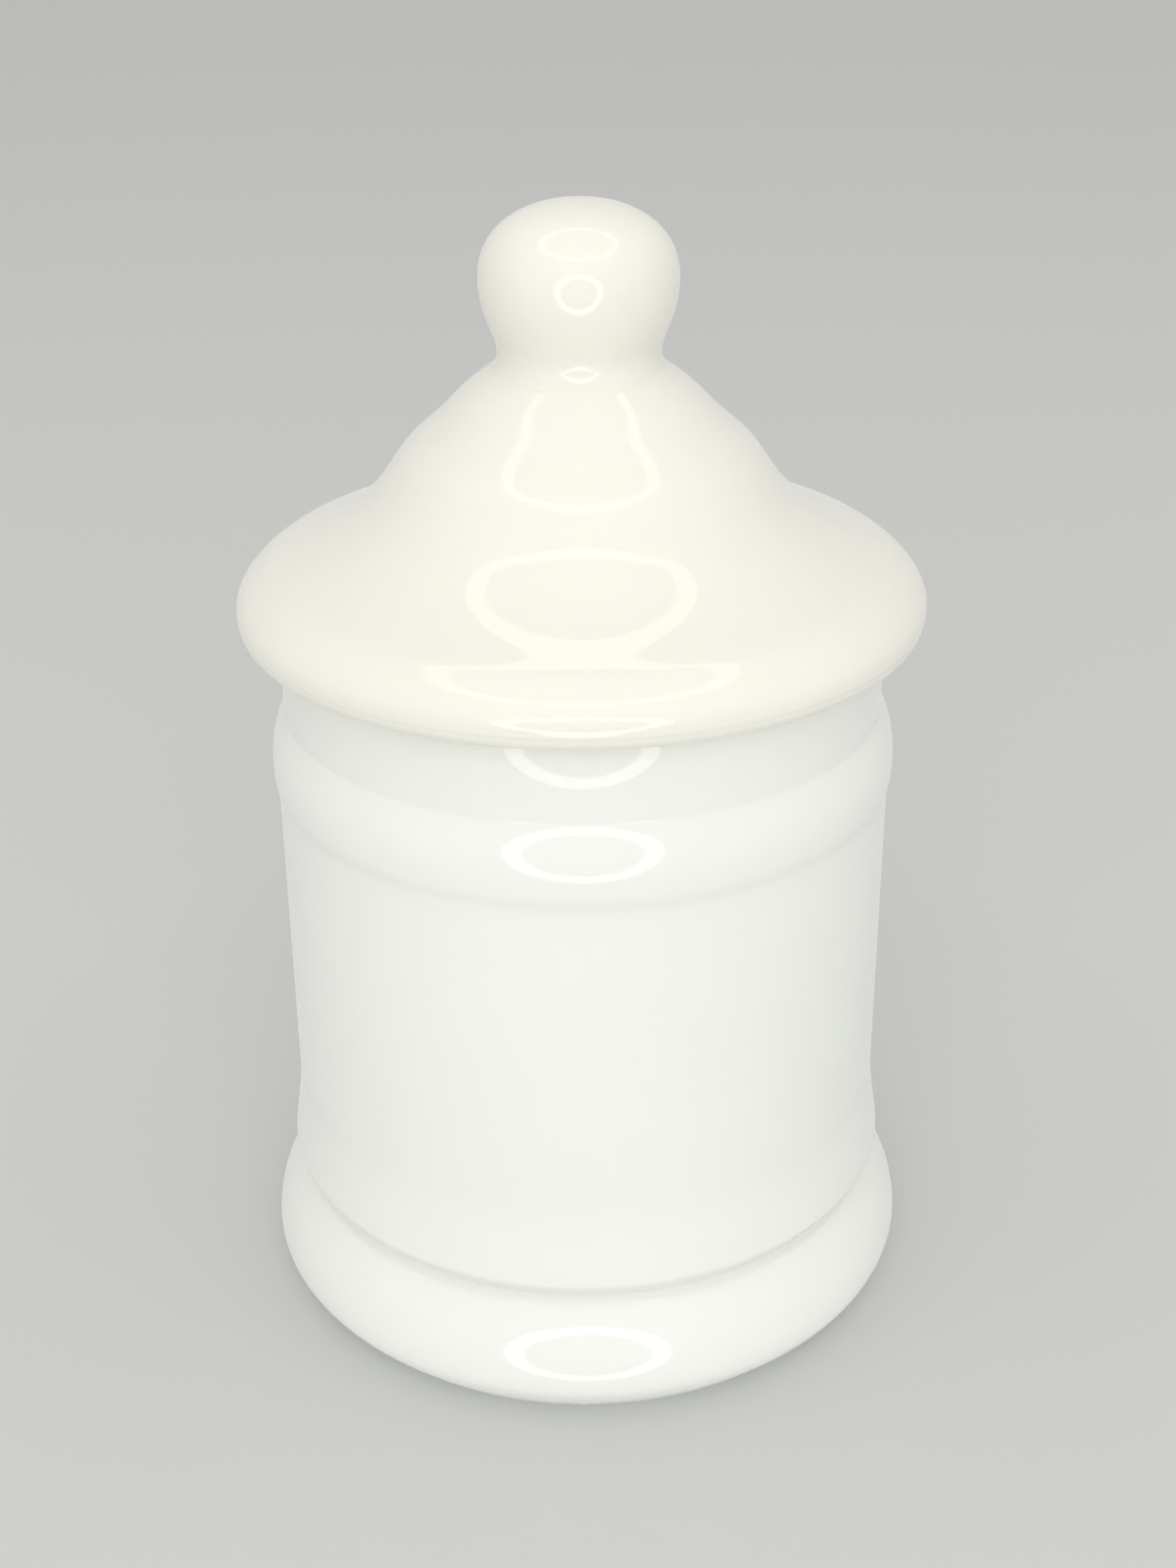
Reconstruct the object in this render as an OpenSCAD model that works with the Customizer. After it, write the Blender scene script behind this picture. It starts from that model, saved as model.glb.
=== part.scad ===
// Lidded apothecary jar in white opal glass. Three pieces come apart on a bench: the footed jar,
// the domed lid with its ball knob, and the finned ring that seals the lid's plug in the mouth.
// Every piece is turned about +Z. The origin is on the table, at the centre of the foot.

/* [Jar] */
// Height of the jar from the table to its rim
jar_h = 90.4; // [78:0.2:108]
// Outside diameter of the straight wall
wall_d = 75.8; // [62:0.1:92]
// Thickness of the glass wall
wall_t = 4; // [3:0.1:5]
// Thickness of the glass floor at the axis
floor_t = 5.5; // [4:0.1:8]
// Inside radius between the wall and the floor
floor_round = 9; // [5:0.5:12]

/* [Foot] */
// How far the foot stands out past the wall
foot_out = 4.15; // [2.5:0.05:6]
// Height of the foot's widest line
foot_belly_h = 6.9; // [5:0.1:9]
// Height of the crease between the foot and the bead
crease_h = 15.6; // [13:0.1:18]
// Depth of the crease, measured in from the wall
crease_in = 0.8; // [0.3:0.05:1.2]
// Height of the bead's widest line above the crease
bead_rise = 4.05; // [3:0.05:6]
// How far the bead stands out past the wall
bead_out = 1.15; // [0.4:0.05:2]
// Width of the flat ring that rests on the table
rest_w = 3; // [2:0.1:4.5]
// Depth of the hollow under the base
push_up = 3.5; // [2:0.1:5]

/* [Neck and mouth] */
// Distance from the rim down to the widest line of the band
band_drop = 15.7; // [13.5:0.1:18]
// How far the band stands out past the wall
band_out = 0.5; // [0.3:0.05:1.5]
// Distance from the rim down to where the neck turns straight
neck_drop = 10.6; // [8:0.1:11.5]
// How far the neck stands in from the wall
neck_in = 1.25; // [0.5:0.05:2]
// Thickness of the glass round the mouth
neck_t = 3.9; // [3.2:0.1:5]
// Radius of the rounded lip, outside and inside
lip_round = 1.2; // [0.6:0.1:1.5]

/* [Lid] */
// Height of the lid above the jar's rim
lid_h = 49.3; // [44:0.1:58]
// How far the brim hangs out past the neck
brim_over = 4.7; // [3.5:0.1:7]
// Height of the brim's widest line above its underside
brim_belly_h = 3.65; // [2.5:0.05:5]
// Distance in from the brim's widest line to its shoulder
shoulder_in = 4.65; // [3.5:0.05:6]
// Height of the brim's shoulder above its underside
shoulder_h = 8.3; // [7:0.1:9.5]
// Diameter of the apron that flares between the shoulder and the dome
apron_d = 59; // [55:0.1:63]
// Height of that diameter above the underside
apron_h = 12.35; // [11:0.05:13.5]
// Diameter of the dome where it is steepest
dome_d = 45; // [42:0.1:48]
// Height of its steepest line above the underside
dome_h = 18.4; // [16.5:0.1:20.5]
// Diameter of the cone above the dome, halfway to the knob
cone_d = 34.8; // [31:0.1:38]
// Height of that diameter above the underside
cone_h = 24.1; // [22.5:0.1:26]
// Thickness of the lid's glass round its hollow
lid_t = 5; // [4:0.1:6]
// Solid glass between the hollow and the knob's neck
crown_t = 8; // [6:0.5:10]

/* [Knob] */
// Diameter of the knob
knob_d = 23; // [19:0.1:28]
// Diameter of the knob's neck
knob_neck_d = 18.9; // [15:0.1:22]
// Height of the knob above its neck
knob_h = 16.6; // [14:0.1:18]
// Distance from the knob's top down to its widest line
knob_crown = 8.55; // [7:0.05:10]

/* [Plug and seal] */
// Depth of the lid's plug below the rim
plug_h = 12; // [10:0.1:15]
// Height of the plug's collar above the seal
collar_h = 1.4; // [1:0.1:2]
// Height of the plug's lip below the seal
plug_lip_h = 1.6; // [1.2:0.1:2.5]
// Depth of the seal's groove in the plug
groove_in = 0.95; // [0.6:0.05:1.5]
// Thickness of the seal's sleeve
sleeve_t = 1; // [0.8:0.05:1.5]
// Reach of the seal's fins past the sleeve
fin_reach = 1.6; // [1:0.1:2.5]
// Thickness of a fin at its root
fin_root = 1; // [0.7:0.05:1.4]
// Thickness of a fin at its tip
fin_tip = 0.5; // [0.4:0.05:0.7]
// How far a fin's tip lies above its root
fin_lift = 0.4; // [0:0.05:0.8]
// Number of fins
fin_count = 3; // [2:1:4]
// Radial clearance between the fins' tips and the mouth
mouth_fit = 0.1; // [0.05:0.01:0.2]
// Radial clearance between the sleeve and its groove
groove_fit = 0.05; // [0.02:0.01:0.1]
// Clearance above and below the sleeve in its groove
sleeve_gap = 0.15; // [0.1:0.05:0.3]

/* [Hidden] */
$fn = 96;

// Points on a free curve and on a quarter of a circle
curve_steps = 12;
arc_steps = 6;

jar_white = [0.92, 0.94, 0.92];
lid_white = [0.95, 0.94, 0.90];
seal_white = [0.82, 0.83, 0.80];

wall_r = wall_d / 2;
foot_r = wall_r + foot_out;
crease_r = wall_r - crease_in;
bead_r = wall_r + bead_out;
band_r = wall_r + band_out;
neck_r = wall_r - neck_in;
mouth_r = neck_r - neck_t;
inner_r = wall_r - wall_t;

// The foot's lower edge: it rises from the resting ring at this angle, this far inside its widest line
foot_rise = 59;
rest_in = 3.75;
rest_r = foot_r - rest_in;

// Slopes on both sides of the crease, and the heights that its fillet takes up
foot_slope = 136;
bead_slope = 60;
crease_soft = 0.75;

// Slope at which the hollow under the base meets the resting ring
push_up_slope = -60;

bead_h = crease_h + bead_rise;
bead_fade = 5.8;
band_h = jar_h - band_drop;
band_fade = 6;
neck_h = jar_h - neck_drop;
mouth_deep = 18;
mouth_fade = 8;
floor_h = push_up + floor_t;

brim_r = neck_r + brim_over;
brim_flat_in = 2.35;
shoulder_r = brim_r - shoulder_in;
shoulder_slope = 155;
apron_r = apron_d / 2;
apron_slope = 147;
dome_r = dome_d / 2;
dome_slope = 123;
cone_r = cone_d / 2;
cone_slope = 139;
cone_end_slope = 145;
knob_r = knob_d / 2;
knob_neck_r = knob_neck_d / 2;
knob_neck_h = lid_h - knob_h;
knob_fillet_w = 1.4;
knob_fillet_h = 2.7;
knob_belly_h = lid_h - knob_crown;

sleeve_out_r = mouth_r - mouth_fit - fin_reach;
sleeve_in_r = sleeve_out_r - sleeve_t;
groove_r = sleeve_in_r - groove_fit;
plug_r = groove_r + groove_in;
groove_top = -collar_h;
groove_bottom = -plug_h + plug_lip_h;
sleeve_top = groove_top - sleeve_gap;
sleeve_bottom = groove_bottom + sleeve_gap;
plug_round = 0.8;

// The hollow under the lid narrows upward, so that the pressing tool draws out
hollow_r = plug_r - lid_t;
hollow_draft = 1.5;
hollow_bend_h = 5;
hollow_top = knob_neck_h - crown_t;

// Shares of a curve's chord that its two ends keep to their headings
push_up_pull = [0.5, 0.1];
foot_edge_pull = [0.31, 0.61];
foot_top_pull = [0.09, 0.29];
crease_pull = [0.3, 0.3];
bead_low_pull = [0.15, 0.41];
bead_top_pull = [0.23, 0.7];
band_low_pull = [0.7, 0.63];
band_top_pull = [0.2, 0.2];
even_pull = [0.4, 0.4];
brim_edge_pull = [0.38, 0.57];
brim_top_pull = [0.18, 0.53];
apron_pull = [0.33, 0.38];
dome_pull = [0.09, 0.81];
cone_pull = [0.49, 0.49];
cone_top_pull = [0.35, 0.55];
knob_fillet_pull = [0.38, 0.47];
knob_low_pull = [0.15, 0.52];
knob_top_pull = [0.38, 0.46];
hollow_pull = [0.3, 0.2];

up = 90;
inward = 180;
down = -90;
outward = 0;

// Direction of an angle in the half plane that holds a turned outline
function heading(angle) = [cos(angle), sin(angle)];

// Cubic curve that leaves a along one angle and reaches b along another, without its last point
function curve(a, leave, b, reach, pull) =
    let (chord = norm(b - a))
    let (c = a + pull[0] * chord * heading(leave))
    let (d = b - pull[1] * chord * heading(reach))
    [for (i = [0 : curve_steps - 1])
        let (t = i / curve_steps, u = 1 - t)
        u * u * u * a + 3 * u * u * t * c + 3 * u * t * t * d + t * t * t * b];

// Arc about a centre, from one angle to another, with both ends
function arc(centre, radius, from, to) =
    [for (i = [0 : arc_steps])
        centre + radius * heading(from + (to - from) * i / arc_steps)];

// Outside of the jar from the resting ring up to the lip
function jar_outside() =
    let (rest = [rest_r, 0])
    let (foot = [foot_r, foot_belly_h])
    let (crease_low = [crease_r + crease_soft / 2, crease_h - crease_soft])
    let (crease_high = [crease_r + crease_soft / 2, crease_h + crease_soft])
    let (bead = [bead_r, bead_h])
    let (wall_low = [wall_r, bead_h + bead_fade])
    let (wall_high = [wall_r, band_h - band_fade])
    let (band = [band_r, band_h])
    let (neck = [neck_r, neck_h])
    concat(
        curve(rest, foot_rise, foot, up, foot_edge_pull),
        curve(foot, up, crease_low, foot_slope, foot_top_pull),
        curve(crease_low, foot_slope, crease_high, bead_slope, crease_pull),
        curve(crease_high, bead_slope, bead, up, bead_low_pull),
        curve(bead, up, wall_low, up, bead_top_pull),
        [wall_low],
        curve(wall_high, up, band, up, band_low_pull),
        curve(band, up, neck, up, band_top_pull),
        [neck]
    );

// Rounded lip from the outside of the neck over to the mouth
function jar_lip() =
    let (height = jar_h - lip_round)
    concat(
        arc([neck_r - lip_round, height], lip_round, outward, up),
        arc([mouth_r + lip_round, height], lip_round, up, inward)
    );

// Inside of the jar from the mouth down to the axis
function jar_inside() =
    let (mouth_end = [mouth_r, jar_h - mouth_deep])
    let (wall_start = [inner_r, jar_h - mouth_deep - mouth_fade])
    concat(
        curve(mouth_end, down, wall_start, down, even_pull),
        [wall_start],
        arc([inner_r - floor_round, floor_h + floor_round], floor_round, outward, down),
        [[0, floor_h]]
    );

// Hollow under the base, from the axis out to the resting ring
function jar_underside() =
    let (ring_inner = [rest_r - rest_w, 0])
    concat(
        curve([0, push_up], outward, ring_inner, push_up_slope, push_up_pull),
        [ring_inner]
    );

// Outside of the lid from the flat of the brim up to the top of the knob
function lid_outside() =
    let (flat = [brim_r - brim_flat_in, 0])
    let (brim = [brim_r, brim_belly_h])
    let (shoulder = [shoulder_r, shoulder_h])
    let (apron = [apron_r, apron_h])
    let (dome = [dome_r, dome_h])
    let (cone = [cone_r, cone_h])
    let (cone_end = [knob_neck_r + knob_fillet_w, knob_neck_h - knob_fillet_h])
    let (knob_neck = [knob_neck_r, knob_neck_h])
    let (knob_belly = [knob_r, knob_belly_h])
    let (top = [0, lid_h])
    concat(
        curve(flat, outward, brim, up, brim_edge_pull),
        curve(brim, up, shoulder, shoulder_slope, brim_top_pull),
        curve(shoulder, shoulder_slope, apron, apron_slope, apron_pull),
        curve(apron, apron_slope, dome, dome_slope, dome_pull),
        curve(dome, dome_slope, cone, cone_slope, cone_pull),
        curve(cone, cone_slope, cone_end, cone_end_slope, cone_top_pull),
        curve(cone_end, cone_end_slope, knob_neck, up, knob_fillet_pull),
        curve(knob_neck, up, knob_belly, up, knob_low_pull),
        curve(knob_belly, up, top, inward, knob_top_pull),
        [top]
    );

// Hollow of the lid from its top down to the plug's end
function lid_hollow() =
    let (bend = [hollow_r - hollow_draft, hollow_bend_h])
    concat(
        curve([0, hollow_top], outward, bend, down, hollow_pull),
        [bend],
        arc([hollow_r + plug_round, -plug_h + plug_round], plug_round, -inward, down)
    );

// Outside of the plug from its end up to the underside of the brim
function lid_plug() =
    concat(
        arc([plug_r - plug_round, -plug_h + plug_round], plug_round, down, outward),
        [
            [plug_r, groove_bottom],
            [groove_r, groove_bottom],
            [groove_r, groove_top],
            [plug_r, groove_top],
            [plug_r, 0]
        ]
    );

// One fin of the seal, with its root on the sleeve at the given height
module fin(height) {
    root_r = sleeve_out_r - sleeve_t / 2;
    tip_r = sleeve_out_r + fin_reach;
    polygon([
        [root_r, height - fin_root / 2],
        [sleeve_out_r, height - fin_root / 2],
        [tip_r, height + fin_lift - fin_tip / 2],
        [tip_r, height + fin_lift + fin_tip / 2],
        [sleeve_out_r, height + fin_root / 2],
        [root_r, height + fin_root / 2]
    ]);
}

// Footed jar with its open mouth
module jar() {
    color(jar_white)
        rotate_extrude()
            polygon(concat(jar_outside(), jar_lip(), jar_inside(), jar_underside()));
}

// Flexible ring in the plug's groove, with fins that brush the mouth
module lid_seal() {
    fin_pitch = (sleeve_top - sleeve_bottom) / fin_count;
    color(seal_white)
        translate([0, 0, jar_h])
            rotate_extrude()
                union() {
                    translate([sleeve_in_r, sleeve_bottom])
                        square([sleeve_t, sleeve_top - sleeve_bottom]);
                    for (i = [0 : fin_count - 1])
                        fin(sleeve_bottom + (i + 0.5) * fin_pitch);
                }
}

// Domed lid with its plug below the brim and its knob on top, pressed in one piece
module lid() {
    color(lid_white)
        translate([0, 0, jar_h])
            rotate_extrude()
                polygon(concat(lid_outside(), lid_hollow(), lid_plug()));
}

jar();
lid_seal();
lid();
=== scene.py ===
import math

import bpy
from mathutils import Matrix, Vector


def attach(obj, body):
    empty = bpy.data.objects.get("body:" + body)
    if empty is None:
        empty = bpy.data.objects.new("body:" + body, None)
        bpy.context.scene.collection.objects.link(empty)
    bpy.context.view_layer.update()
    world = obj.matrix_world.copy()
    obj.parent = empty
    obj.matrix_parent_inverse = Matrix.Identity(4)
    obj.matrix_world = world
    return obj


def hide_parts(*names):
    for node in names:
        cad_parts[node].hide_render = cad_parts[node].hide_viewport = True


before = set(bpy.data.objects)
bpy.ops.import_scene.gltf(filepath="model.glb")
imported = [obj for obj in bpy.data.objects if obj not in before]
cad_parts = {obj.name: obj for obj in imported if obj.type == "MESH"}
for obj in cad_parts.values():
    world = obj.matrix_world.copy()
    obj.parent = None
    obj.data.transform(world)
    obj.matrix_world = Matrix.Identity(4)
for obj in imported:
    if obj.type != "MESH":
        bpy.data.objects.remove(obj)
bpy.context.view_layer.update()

mm = 0.001
up, inward, down, outward = 90, 180, -90, 0
quarter = (0.3905, 0.3905)  # shares of the chord that turn a bend into a quarter circle
mergeWithin = 0.002  # mm, far below any real edge


def toLinear(hexValue):
    parts = [int(hexValue[i:i + 2], 16) / 255 for i in (0, 2, 4)]
    return tuple(p / 12.92 if p <= 0.04045 else ((p + 0.055) / 1.055) ** 2.4 for p in parts) + (1.0,)


def addNode(tree, kind, settings=None, values=None, links=None):
    node = tree.nodes.new(kind)
    for name, value in (settings or {}).items():
        setattr(node, name, value)
    for name, value in (values or {}).items():
        node.inputs[name].default_value = value
    for name, socket in (links or {}).items():
        tree.links.new(socket, node.inputs[name])
    return node


def deselectAll():
    if bpy.context.object and bpy.context.object.mode != "OBJECT":
        bpy.ops.object.mode_set(mode="OBJECT")
    bpy.ops.object.select_all(action="DESELECT")


def along(point, angle, reach):
    turn = math.radians(angle)
    return (point[0] + reach * math.cos(turn), point[1] + reach * math.sin(turn))


def inPlane(point):
    return (point[0] * mm, 0, point[1] * mm)


# one straight stretch of an outline, to radius r and height z in mm
def line(r, z):
    return {"to": (r, z)}


# one bend: it leaves at an angle, reaches (r, z) at another, and holds to each for a share of its chord
def bend(leave, r, z, reach, pull):
    return {"to": (r, z), "leave": leave, "reach": reach, "pull": pull}


# half an outline as a bezier in the XZ plane
def drawOutline(name, start, moves, steps):
    deselectAll()
    bpy.ops.curve.primitive_bezier_curve_add(location=(0, 0, 0))
    outline = bpy.context.object
    outline.name = name
    outline.data.resolution_u = steps
    spline = outline.data.splines[0]
    spline.bezier_points.add(len(moves) - 1)
    knots = spline.bezier_points
    for knot in knots:
        knot.handle_left_type = knot.handle_right_type = "FREE"
    here = start
    knots[0].co = knots[0].handle_left = knots[0].handle_right = inPlane(here)
    for i, move in enumerate(moves, 1):
        there = move["to"]
        knots[i].co = knots[i].handle_left = knots[i].handle_right = inPlane(there)
        if "leave" in move:
            chord = math.dist(here, there)
            knots[i - 1].handle_right = inPlane(along(here, move["leave"], move["pull"][0] * chord))
            knots[i].handle_left = inPlane(along(there, move["reach"] + 180, move["pull"][1] * chord))
        else:
            knots[i - 1].handle_right_type = knots[i].handle_left_type = "VECTOR"
        here = there
    return outline


# the outline becomes a mesh and is spun round the jar's axis, then its seam and its poles are closed
def spinOutline(outline, turns, sharpAngle):
    deselectAll()
    outline.select_set(True)
    bpy.context.view_layer.objects.active = outline
    bpy.ops.object.convert(target="MESH")
    piece = bpy.context.object
    bpy.ops.object.mode_set(mode="EDIT")
    bpy.ops.mesh.select_all(action="SELECT")
    bpy.ops.mesh.spin(steps=turns, angle=2 * math.pi, center=(0, 0, 0), axis=(0, 0, 1))
    bpy.ops.mesh.select_all(action="SELECT")
    bpy.ops.mesh.remove_doubles(threshold=mergeWithin * mm)
    bpy.ops.mesh.normals_make_consistent(inside=False)
    bpy.ops.object.mode_set(mode="OBJECT")
    bpy.ops.object.shade_smooth_by_angle(angle=math.radians(sharpAngle))
    return piece


# the jar: foot, crease, bead, wall, band, neck, lip, mouth, inside, and the hollow under its base
jarShape = {
    "height": 90.4, "wallRadius": 37.9, "innerRadius": 33.9,
    "footRadius": 42.05, "footHeight": 5.4, "restRadius": 38.3, "restWidth": 3,
    "footRise": 59, "footEdge": (0.27, 0.36), "footTop": (0.3, 0.35), "footSlope": 136,
    "creaseRadius": 37.0, "creaseHeight": 15.45, "creaseSoft": 0.83, "crease": (0.2, 0.12),
    "beadRadius": 39.05, "beadRise": 3.3, "beadSlope": 62.6, "beadFade": 10.1,
    "beadLow": (0.11, 0.1), "beadTop": (0.1, 0.32),
    "bandRadius": 38.4, "bandDrop": 17.0, "bandFade": 6, "bandLow": (0.7, 0.63),
    "bandEdgeRadius": 36.77, "bandEdgeDrop": 10.7, "bandEdgeSlope": 119.1, "bandTop": (0.34, 0.34),
    "neckLowRadius": 36.6, "neckLowDrop": 10.25, "neckLean": 89, "neckRadius": 36.65, "neckTopDrop": 6.1,
    "lipRadius": 36.1, "lipDrop": 1.4, "lipSlope": 105, "lipTopRadius": 35.3, "soft": (0.33, 0.33),
    "mouthRadius": 32.75, "lipRound": 1.2, "mouthDeep": 18, "mouthFade": 8, "mouthBend": (0.4, 0.4),
    "floorRound": 9, "floorHeight": 9, "pushUp": 3.5, "pushUpSlope": -60, "pushUpBend": (0.5, 0.1),
    "curveSteps": 14, "turns": 224, "sharpAngle": 50,
}


def makeJar(s):
    beadHeight = s["creaseHeight"] + s["beadRise"]
    bandHeight = s["height"] - s["bandDrop"]
    lipHeight = s["height"] - s["lipRound"]
    mouthEnd = s["height"] - s["mouthDeep"]
    creaseLow = s["creaseHeight"] - s["creaseSoft"]
    creaseHigh = s["creaseHeight"] + s["creaseSoft"]
    creaseSide = s["creaseRadius"] + s["creaseSoft"] / 2
    outline = drawOutline("jarOutline", (0, s["pushUp"]), [
        bend(outward, s["restRadius"] - s["restWidth"], 0, s["pushUpSlope"], s["pushUpBend"]),
        line(s["restRadius"], 0),
        bend(s["footRise"], s["footRadius"], s["footHeight"], up, s["footEdge"]),
        bend(up, creaseSide, creaseLow, s["footSlope"], s["footTop"]),
        bend(s["footSlope"], creaseSide, creaseHigh, s["beadSlope"], s["crease"]),
        bend(s["beadSlope"], s["beadRadius"], beadHeight, up, s["beadLow"]),
        bend(up, s["wallRadius"], beadHeight + s["beadFade"], up, s["beadTop"]),
        line(s["wallRadius"], bandHeight - s["bandFade"]),
        bend(up, s["bandRadius"], bandHeight, up, s["bandLow"]),
        bend(up, s["bandEdgeRadius"], s["height"] - s["bandEdgeDrop"], s["bandEdgeSlope"], s["bandTop"]),
        bend(s["bandEdgeSlope"], s["neckLowRadius"], s["height"] - s["neckLowDrop"], s["neckLean"],
            s["soft"]),
        line(s["neckRadius"], s["height"] - s["neckTopDrop"]),
        bend(up, s["lipRadius"], s["height"] - s["lipDrop"], s["lipSlope"], s["soft"]),
        bend(s["lipSlope"], s["lipTopRadius"], s["height"], inward, s["soft"]),
        line(s["mouthRadius"] + s["lipRound"], s["height"]),
        bend(inward, s["mouthRadius"], lipHeight, down, quarter),
        line(s["mouthRadius"], mouthEnd),
        bend(down, s["innerRadius"], mouthEnd - s["mouthFade"], down, s["mouthBend"]),
        line(s["innerRadius"], s["floorHeight"] + s["floorRound"]),
        bend(down, s["innerRadius"] - s["floorRound"], s["floorHeight"], inward, quarter),
        line(0, s["floorHeight"]),
    ], s["curveSteps"])
    return spinOutline(outline, s["turns"], s["sharpAngle"])


jar = makeJar(jarShape)
jar.name = jar.data.name = "jar_glass"
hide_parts("jar")
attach(jar, "jar")
print("jar made,", len(jar.data.polygons), "faces")


# the lid: hollow, plug with its groove, brim, shoulder, apron, dome, cone, knob; heights count from its seat
lidShape = {
    "seat": 90.4, "height": 49.3,
    "brimRadius": 41.35, "brimHeight": 2.25, "brimFlat": 2.35, "brimRound": (0.33, 0.33),
    "brimLowStep": 0.15, "brimLowHeight": 1.5, "brimLowSlope": 83, "brimUnder": (0.4, 0.4),
    "brimTopRadius": 41.06, "brimTopHeight": 4.08, "brimTopSlope": 113.6, "brimSide": (0.38, 0.42),
    "shoulderRadius": 37.92, "shoulderHeight": 7.4, "shoulderSlope": 142.2, "shoulder": (0.42, 0.13),
    "apronRadius": 27.7, "apronHeight": 12.85, "apronSlope": 141.9, "apron": (0.12, 0.42),
    "domeRadius": 22.5, "domeHeight": 18.6, "domeSlope": 124, "dome": (0.38, 0.5),
    "coneRadius": 17.4, "coneHeight": 24.1, "coneSlope": 139, "cone": (0.49, 0.49),
    "coneEndRadius": 10.85, "coneEndHeight": 30, "coneEndSlope": 145, "coneTop": (0.35, 0.55),
    # the knob's neck in four stations: radius, height, slope
    "neckStations": ((9.8, 31, 111), (9.61, 31.55, 107), (9.51, 32.35, 87), (9.56, 32.95, 83.5)),
    "neckBend": (0.36, 0.36),
    "knobRadius": 11.5, "knobCrown": 8.55, "knobLow": (0.2, 0.5), "knobTop": (0.38, 0.46),
    "plugRadius": 30.95, "plugDepth": 12, "plugRound": 0.8, "grooveRadius": 30, "collar": 1.4, "lip": 1.6,
    "hollowRadius": 25.95, "hollowDraft": 1.5, "hollowBend": 5, "hollowTop": 24.7, "hollow": (0.3, 0.2),
    "curveSteps": 14, "turns": 224, "sharpAngle": 40,
}


def makeLid(s):
    seat = s["seat"]
    plugEnd = seat - s["plugDepth"]
    brimLow = s["brimRadius"] - s["brimLowStep"]
    knobBelly = seat + s["height"] - s["knobCrown"]
    knobNeck = []
    slope = s["coneEndSlope"]
    for radius, height, nextSlope in s["neckStations"]:
        knobNeck.append(bend(slope, radius, seat + height, nextSlope, s["neckBend"]))
        slope = nextSlope
    outline = drawOutline("lidOutline", (0, seat + s["hollowTop"]), [
        bend(outward, s["hollowRadius"] - s["hollowDraft"], seat + s["hollowBend"], down, s["hollow"]),
        line(s["hollowRadius"], plugEnd + s["plugRound"]),
        bend(down, s["hollowRadius"] + s["plugRound"], plugEnd, outward, quarter),
        line(s["plugRadius"] - s["plugRound"], plugEnd),
        bend(outward, s["plugRadius"], plugEnd + s["plugRound"], up, quarter),
        line(s["plugRadius"], plugEnd + s["lip"]),
        line(s["grooveRadius"], plugEnd + s["lip"]),
        line(s["grooveRadius"], seat - s["collar"]),
        line(s["plugRadius"], seat - s["collar"]),
        line(s["plugRadius"], seat),
        line(s["brimRadius"] - s["brimFlat"], seat),
        bend(outward, brimLow, seat + s["brimLowHeight"], s["brimLowSlope"], s["brimUnder"]),
        bend(s["brimLowSlope"], s["brimRadius"], seat + s["brimHeight"], up, s["brimRound"]),
        bend(up, s["brimTopRadius"], seat + s["brimTopHeight"], s["brimTopSlope"], s["brimSide"]),
        bend(s["brimTopSlope"], s["shoulderRadius"], seat + s["shoulderHeight"], s["shoulderSlope"],
            s["shoulder"]),
        bend(s["shoulderSlope"], s["apronRadius"], seat + s["apronHeight"], s["apronSlope"], s["apron"]),
        bend(s["apronSlope"], s["domeRadius"], seat + s["domeHeight"], s["domeSlope"], s["dome"]),
        bend(s["domeSlope"], s["coneRadius"], seat + s["coneHeight"], s["coneSlope"], s["cone"]),
        bend(s["coneSlope"], s["coneEndRadius"], seat + s["coneEndHeight"], s["coneEndSlope"], s["coneTop"]),
    ] + knobNeck + [
        bend(slope, s["knobRadius"], knobBelly, up, s["knobLow"]),
        bend(up, 0, seat + s["height"], inward, s["knobTop"]),
    ], s["curveSteps"])
    return spinOutline(outline, s["turns"], s["sharpAngle"])


lid = makeLid(lidShape)
lid.name = lid.data.name = "lid_glass"
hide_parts("lid")
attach(lid, "lid")
print("lid made,", len(lid.data.polygons), "faces")


# the seal: a sleeve in the plug's groove with three upturned fins
sealShape = {
    "seat": 90.4, "innerRadius": 30.05, "outerRadius": 31.05, "top": -1.55, "bottom": -10.25,
    "finReach": 1.6, "finRoot": 1.0, "finTip": 0.5, "finLift": 0.4, "fins": 3,
    "edgeRound": 0.12, "edgeSteps": 2, "edgeAngle": 30, "turns": 192, "sharpAngle": 40,
}


def makeSeal(s):
    pitch = (s["top"] - s["bottom"]) / s["fins"]
    low, high = s["seat"] + s["bottom"], s["seat"] + s["top"]
    tip = s["outerRadius"] + s["finReach"]
    moves = [line(s["outerRadius"], low)]
    for i in range(s["fins"]):
        middle = low + (i + 0.5) * pitch
        moves.append(line(s["outerRadius"], middle - s["finRoot"] / 2))
        moves.append(line(tip, middle + s["finLift"] - s["finTip"] / 2))
        moves.append(line(tip, middle + s["finLift"] + s["finTip"] / 2))
        moves.append(line(s["outerRadius"], middle + s["finRoot"] / 2))
    moves += [line(s["outerRadius"], high), line(s["innerRadius"], high), line(s["innerRadius"], low)]
    outline = drawOutline("sealOutline", (s["innerRadius"], low), moves, 1)
    seal = spinOutline(outline, s["turns"], s["sharpAngle"])
    edges = seal.modifiers.new("mouldEdges", "BEVEL")  # moulded edges are never quite sharp
    edges.width = s["edgeRound"] * mm
    edges.segments = s["edgeSteps"]
    edges.limit_method = "ANGLE"
    edges.angle_limit = math.radians(s["edgeAngle"])
    deselectAll()
    seal.select_set(True)
    bpy.context.view_layer.objects.active = seal
    bpy.ops.object.modifier_apply(modifier=edges.name)
    return seal


seal = makeSeal(sealShape)
seal.name = seal.data.name = "lid_seal_ring"
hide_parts("lid_seal")
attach(seal, "seal")
print("seal made,", len(seal.data.polygons), "faces")


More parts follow.
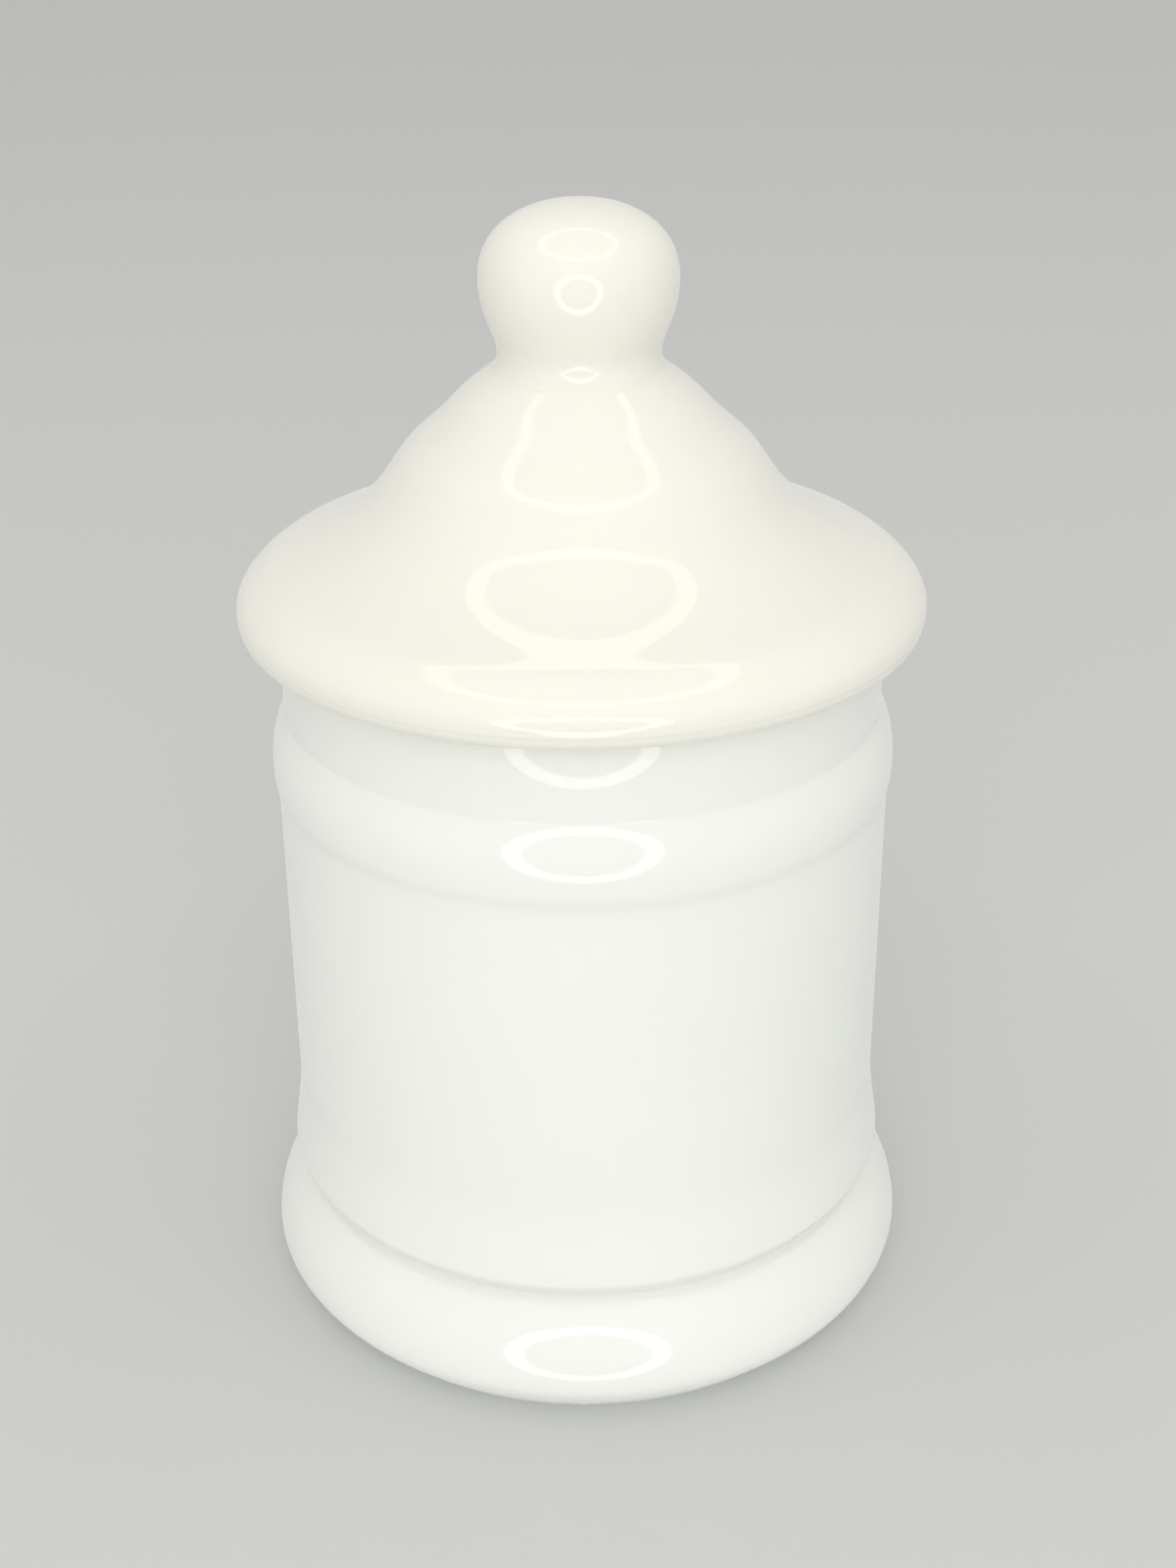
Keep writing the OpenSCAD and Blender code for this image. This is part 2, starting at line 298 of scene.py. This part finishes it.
def startMaterial(name):
    material = bpy.data.materials.new(name)
    material.use_nodes = True
    tree = material.node_tree
    tree.nodes.clear()
    shader = addNode(tree, "ShaderNodeBsdfPrincipled")
    addNode(tree, "ShaderNodeOutputMaterial", links={"Surface": shader.outputs["BSDF"]})
    return material, tree, shader


# what both glasses share: the spread of a smear in its noise, a grain's dark core and soft edge as
# shares of its size, and how far each colour of light goes into the glass
glassSkin = {
    "smearFrom": 0.35, "smearTo": 0.75, "grainCore": 0.1, "grainEdge": 0.55, "wornFlat": 0.05,
    "lightReach": (1.0, 0.95, 0.85), "ior": 1.5,
}


# opal glass, pressed in a mould and fire-polished: milk white through its whole thickness, so light sinks
# in a little before it comes back, under a wet-looking skin that shows the lamps as crisp, slightly wavy
# shapes
def opalGlass(look, skin):
    material, tree, shader = startMaterial(look["name"])
    where = addNode(tree, "ShaderNodeTexCoord").outputs["Object"]

    # cloudy streaks left by the opacifier, a few centimetres long
    clouds = addNode(tree, "ShaderNodeTexNoise", values={
        "Scale": 1 / (look["cloudSize"] * mm), "Detail": 3, "Roughness": 0.5}, links={"Vector": where})
    tint = addNode(tree, "ShaderNodeMix", {"data_type": "RGBA"}, links={"Factor": clouds.outputs["Fac"]})
    tint.inputs["A"].default_value = toLinear(look["colourLow"])
    tint.inputs["B"].default_value = toLinear(look["colourHigh"])

    # stray grains of unmelted batch, few and under half a millimetre across
    grains = addNode(tree, "ShaderNodeTexVoronoi", values={
        "Scale": 1 / (look["grainSpacing"] * mm), "Randomness": 1}, links={"Vector": where})
    grainShare = look["grainSize"] / look["grainSpacing"]
    speck = addNode(tree, "ShaderNodeMapRange", {"interpolation_type": "SMOOTHSTEP"}, {
        "From Min": skin["grainCore"] * grainShare, "From Max": skin["grainEdge"] * grainShare,
        "To Min": look["grainStrength"], "To Max": 0}, {"Value": grains.outputs["Distance"]})
    speckled = addNode(tree, "ShaderNodeMix", {"data_type": "RGBA"}, links={
        "Factor": speck.outputs["Result"], "A": tint.outputs["Result"]})
    speckled.inputs["B"].default_value = toLinear(look["grainColour"])
    tree.links.new(speckled.outputs["Result"], shader.inputs["Base Color"])

    # handling leaves faint smears, where the gloss drops a little in soft patches
    smears = addNode(tree, "ShaderNodeTexNoise", values={
        "Scale": 1 / (look["smearSize"] * mm), "Detail": 4, "Roughness": 0.6, "Distortion": 0.6},
        links={"Vector": where})
    gloss = addNode(tree, "ShaderNodeMapRange", values={
        "From Min": skin["smearFrom"], "From Max": skin["smearTo"],
        "To Min": look["roughness"], "To Max": look["roughness"] + look["smear"]},
        links={"Value": smears.outputs["Fac"]}).outputs["Result"]

    # the faces that rub, on the table and at the seat, are worn matt
    axes = addNode(tree, "ShaderNodeSeparateXYZ", links={"Vector": where})
    for height in look["wornAt"]:
        offset = addNode(tree, "ShaderNodeMath", {"operation": "SUBTRACT"}, {1: height * mm},
            {0: axes.outputs["Z"]})
        apart = addNode(tree, "ShaderNodeMath", {"operation": "ABSOLUTE"}, links={0: offset.outputs[0]})
        matt = addNode(tree, "ShaderNodeMapRange", {"interpolation_type": "SMOOTHSTEP"}, {
            "From Min": skin["wornFlat"] * mm, "From Max": look["wornFade"] * mm,
            "To Min": look["wornRough"], "To Max": 0}, {"Value": apart.outputs[0]})
        gloss = addNode(tree, "ShaderNodeMath", {"operation": "MAXIMUM"}, links={
            0: gloss, 1: matt.outputs["Result"]}).outputs[0]
    tree.links.new(gloss, shader.inputs["Roughness"])

    # the mould and the fire polish leave long, shallow waves, some microns deep
    waves = addNode(tree, "ShaderNodeTexNoise", values={
        "Scale": 1 / (look["waveLength"] * mm), "Detail": 1.5, "Roughness": 0.4}, links={"Vector": where})
    relief = addNode(tree, "ShaderNodeBump", values={"Strength": 1, "Distance": look["waveDepth"] * mm},
        links={"Height": waves.outputs["Fac"]})
    tree.links.new(relief.outputs["Normal"], shader.inputs["Normal"])

    shader.inputs["IOR"].default_value = skin["ior"]
    shader.inputs["Subsurface Weight"].default_value = look["depth"]
    shader.inputs["Subsurface Radius"].default_value = skin["lightReach"]
    shader.inputs["Subsurface Scale"].default_value = look["depthScale"] * mm
    return material


jarLook = {
    "name": "opalGlassCoolWhite", "colourLow": "F0F1EC", "colourHigh": "F4F5F1", "cloudSize": 30,
    "grainColour": "9C9384", "grainSpacing": 17, "grainSize": 0.45, "grainStrength": 0.45,
    "roughness": 0.02, "smear": 0.03, "smearSize": 11, "waveLength": 16, "waveDepth": 0.03,
    "depth": 0.35, "depthScale": 1.5, "wornAt": (0, 90.4), "wornFade": 0.45, "wornRough": 0.5,
}
lidLook = {
    "name": "opalGlassWarmWhite", "colourLow": "F0EDE4", "colourHigh": "F4F1E9", "cloudSize": 24,
    "grainColour": "8C8272", "grainSpacing": 15, "grainSize": 0.45, "grainStrength": 0.45,
    "roughness": 0.02, "smear": 0.03, "smearSize": 11, "waveLength": 14, "waveDepth": 0.03,
    "depth": 0.35, "depthScale": 1.5, "wornAt": (90.4,), "wornFade": 0.45, "wornRough": 0.5,
}


# soft moulded plastic of a closure ring: faintly cloudy and satin, with a fine grain from the tool
def sealPlastic(look):
    material, tree, shader = startMaterial(look["name"])
    where = addNode(tree, "ShaderNodeTexCoord").outputs["Object"]
    clouds = addNode(tree, "ShaderNodeTexNoise", values={"Scale": 1 / (look["cloudSize"] * mm), "Detail": 2},
        links={"Vector": where})
    tint = addNode(tree, "ShaderNodeMix", {"data_type": "RGBA"}, links={"Factor": clouds.outputs["Fac"]})
    tint.inputs["A"].default_value = toLinear(look["colourLow"])
    tint.inputs["B"].default_value = toLinear(look["colourHigh"])
    tree.links.new(tint.outputs["Result"], shader.inputs["Base Color"])
    grain = addNode(tree, "ShaderNodeTexNoise", values={"Scale": 1 / (look["grain"] * mm), "Detail": 2},
        links={"Vector": where})
    relief = addNode(tree, "ShaderNodeBump", values={"Strength": 1, "Distance": look["grainDepth"] * mm},
        links={"Height": grain.outputs["Fac"]})
    tree.links.new(relief.outputs["Normal"], shader.inputs["Normal"])
    shader.inputs["Roughness"].default_value = look["roughness"]
    shader.inputs["IOR"].default_value = look["ior"]
    shader.inputs["Subsurface Weight"].default_value = look["depth"]
    shader.inputs["Subsurface Radius"].default_value = look["lightReach"]
    shader.inputs["Subsurface Scale"].default_value = look["depthScale"] * mm
    return material


sealLook = {
    "name": "mouldedSoftPlastic", "colourLow": "DCDDD8", "colourHigh": "E6E7E2", "cloudSize": 6,
    "grain": 0.4, "grainDepth": 0.01, "roughness": 0.42, "ior": 1.48,
    "depth": 0.4, "lightReach": (1.0, 1.0, 0.9), "depthScale": 1.0,
}

jarGlass, lidGlass = opalGlass(jarLook, glassSkin), opalGlass(lidLook, glassSkin)
for piece, material in ((jar, jarGlass), (lid, lidGlass), (seal, sealPlastic(sealLook))):
    piece.data.materials.clear()
    piece.data.materials.append(material)
print("materials set")


# a pale floor and an even sky; rays from the camera, and gloss, see the backdrop's own colour
room = {
    "floorColour": "D8D9D8", "floorRoughness": 0.9, "floorShine": 0.2, "floorRadius": 2.5, "floorSides": 96,
    "backColour": "DDDEDE", "skyColour": "F7F8F6", "skyStrength": 0.73,
}

deselectAll()
bpy.ops.mesh.primitive_circle_add(
    vertices=room["floorSides"], radius=room["floorRadius"], fill_type="NGON", location=(0, 0, 0))
floor = bpy.context.object
floor.name = floor.data.name = "studioFloor"
floor.visible_glossy = False  # so the glass mirrors the whole front ring, which reaches below the floor
floorPaper, _, floorShader = startMaterial("mattPaper")
floorShader.inputs["Base Color"].default_value = toLinear(room["floorColour"])
floorShader.inputs["Roughness"].default_value = room["floorRoughness"]
floorShader.inputs["Specular IOR Level"].default_value = room["floorShine"]
floor.data.materials.append(floorPaper)

world = bpy.data.worlds.new("studioWorld")
bpy.context.scene.world = world
world.use_nodes = True
worldTree = world.node_tree
worldTree.nodes.clear()
skyLight = addNode(worldTree, "ShaderNodeBackground", values={
    "Color": toLinear(room["skyColour"]), "Strength": room["skyStrength"]})
backdrop = addNode(worldTree, "ShaderNodeBackground", values={
    "Color": toLinear(room["backColour"]), "Strength": 1})
rays = addNode(worldTree, "ShaderNodeLightPath")
orGlossy = addNode(worldTree, "ShaderNodeMath", {"operation": "MAXIMUM"}, links={
    0: rays.outputs["Is Camera Ray"], 1: rays.outputs["Is Glossy Ray"]})
orThrough = addNode(worldTree, "ShaderNodeMath", {"operation": "MAXIMUM"}, links={
    0: orGlossy.outputs[0], 1: rays.outputs["Is Transmission Ray"]})
seen = addNode(worldTree, "ShaderNodeMixShader", links={
    "Fac": orThrough.outputs[0], 1: skyLight.outputs[0], 2: backdrop.outputs[0]})
addNode(worldTree, "ShaderNodeOutputWorld", links={"Surface": seen.outputs[0]})


def areaLamp(lamp):
    light = bpy.data.objects.new(lamp["name"], bpy.data.lights.new(lamp["name"], "AREA"))
    bpy.context.scene.collection.objects.link(light)
    light.data.shape = "ELLIPSE"
    light.data.size = lamp["width"] * mm
    light.data.size_y = lamp["depth"] * mm
    light.data.energy = lamp["watts"]
    light.data.color = toLinear(lamp["colour"])[:3]
    light.location = Vector(lamp["place"]) * mm
    light.rotation_euler = (Vector(lamp["aim"]) * mm - light.location).to_track_quat("-Z", "Y").to_euler()
    light.visible_camera = False
    return light


# a ring lamp: a flat round area lamp that is dark inside its band, with a soft edge between
def ringLamp(lamp):
    light = areaLamp(lamp)
    light.data.use_nodes = True
    tree = light.data.node_tree
    tree.nodes.clear()
    spot = addNode(tree, "ShaderNodeNewGeometry").outputs["Parametric"]
    centred = addNode(tree, "ShaderNodeVectorMath", {"operation": "DISTANCE"}, links={0: spot})
    centred.inputs[1].default_value = (0.5, 0.5, 0)
    innerEdge = 0.5 * (1 - lamp["band"])
    lit = addNode(tree, "ShaderNodeMapRange", {"interpolation_type": "SMOOTHSTEP"}, {
        "From Min": innerEdge - lamp["edge"], "From Max": innerEdge + lamp["edge"], "To Min": 0, "To Max": 1},
        {"Value": centred.outputs["Value"]})
    glow = addNode(tree, "ShaderNodeEmission", links={"Strength": lit.outputs["Result"]})
    addNode(tree, "ShaderNodeOutputLight", links={"Surface": glow.outputs[0]})
    return light


frontRing = ringLamp({
    "name": "frontRing", "place": (0, -597, 108), "aim": (0, 0, 108), "width": 606, "depth": 606,
    "band": 0.27, "edge": 0.01, "watts": 2.3, "colour": "F8FBF9"})
ringLamp({
    "name": "overheadRing", "place": (0, -114, 804), "aim": (0, 0, 113), "width": 900, "depth": 778,
    "band": 0.2, "edge": 0.01, "watts": 2.5, "colour": "FFF3E4"})

# the front ring stands partly below the floor, so it leaves the floor unlit
unlit = bpy.data.collections.new("unlitByFrontRing")
unlit.objects.link(floor)
unlit.collection_objects[0].light_linking.link_state = "EXCLUDE"
frontRing.light_linking.receiver_collection = unlit

# a broad soft fill from over the camera; the gloss doesn't mirror it, so the rings are the only highlights
fill = areaLamp({
    "name": "softFill", "place": (0, -1120, 720), "aim": (0, 0, 60), "width": 1130, "depth": 1130,
    "watts": 4.8, "colour": "FBFCFB"})
fill.visible_glossy = False

cameraSet = {
    "lens": 49.8, "sensor": 36, "pitch": 26.15, "distance": 274.1, "aim": 66.98, "roll": -0.45, "aside": 0.6,
}
cam = bpy.data.objects.new("camera", bpy.data.cameras.new("camera"))
bpy.context.scene.collection.objects.link(cam)
cam.data.lens = cameraSet["lens"]
cam.data.sensor_width = cameraSet["sensor"]
pitch = math.radians(cameraSet["pitch"])
back = cameraSet["distance"] * math.cos(pitch)
rise = cameraSet["distance"] * math.sin(pitch)
cam.location = Vector((cameraSet["aside"], -back, cameraSet["aim"] + rise)) * mm
roll = Matrix.Rotation(math.radians(cameraSet["roll"]), 3, "Z")
cam.rotation_euler = (Matrix.Rotation(math.pi / 2 - pitch, 3, "X") @ roll).to_euler()
bpy.context.scene.camera = cam
bpy.context.scene.view_settings.view_transform = "Standard"
print("camera and lights set")
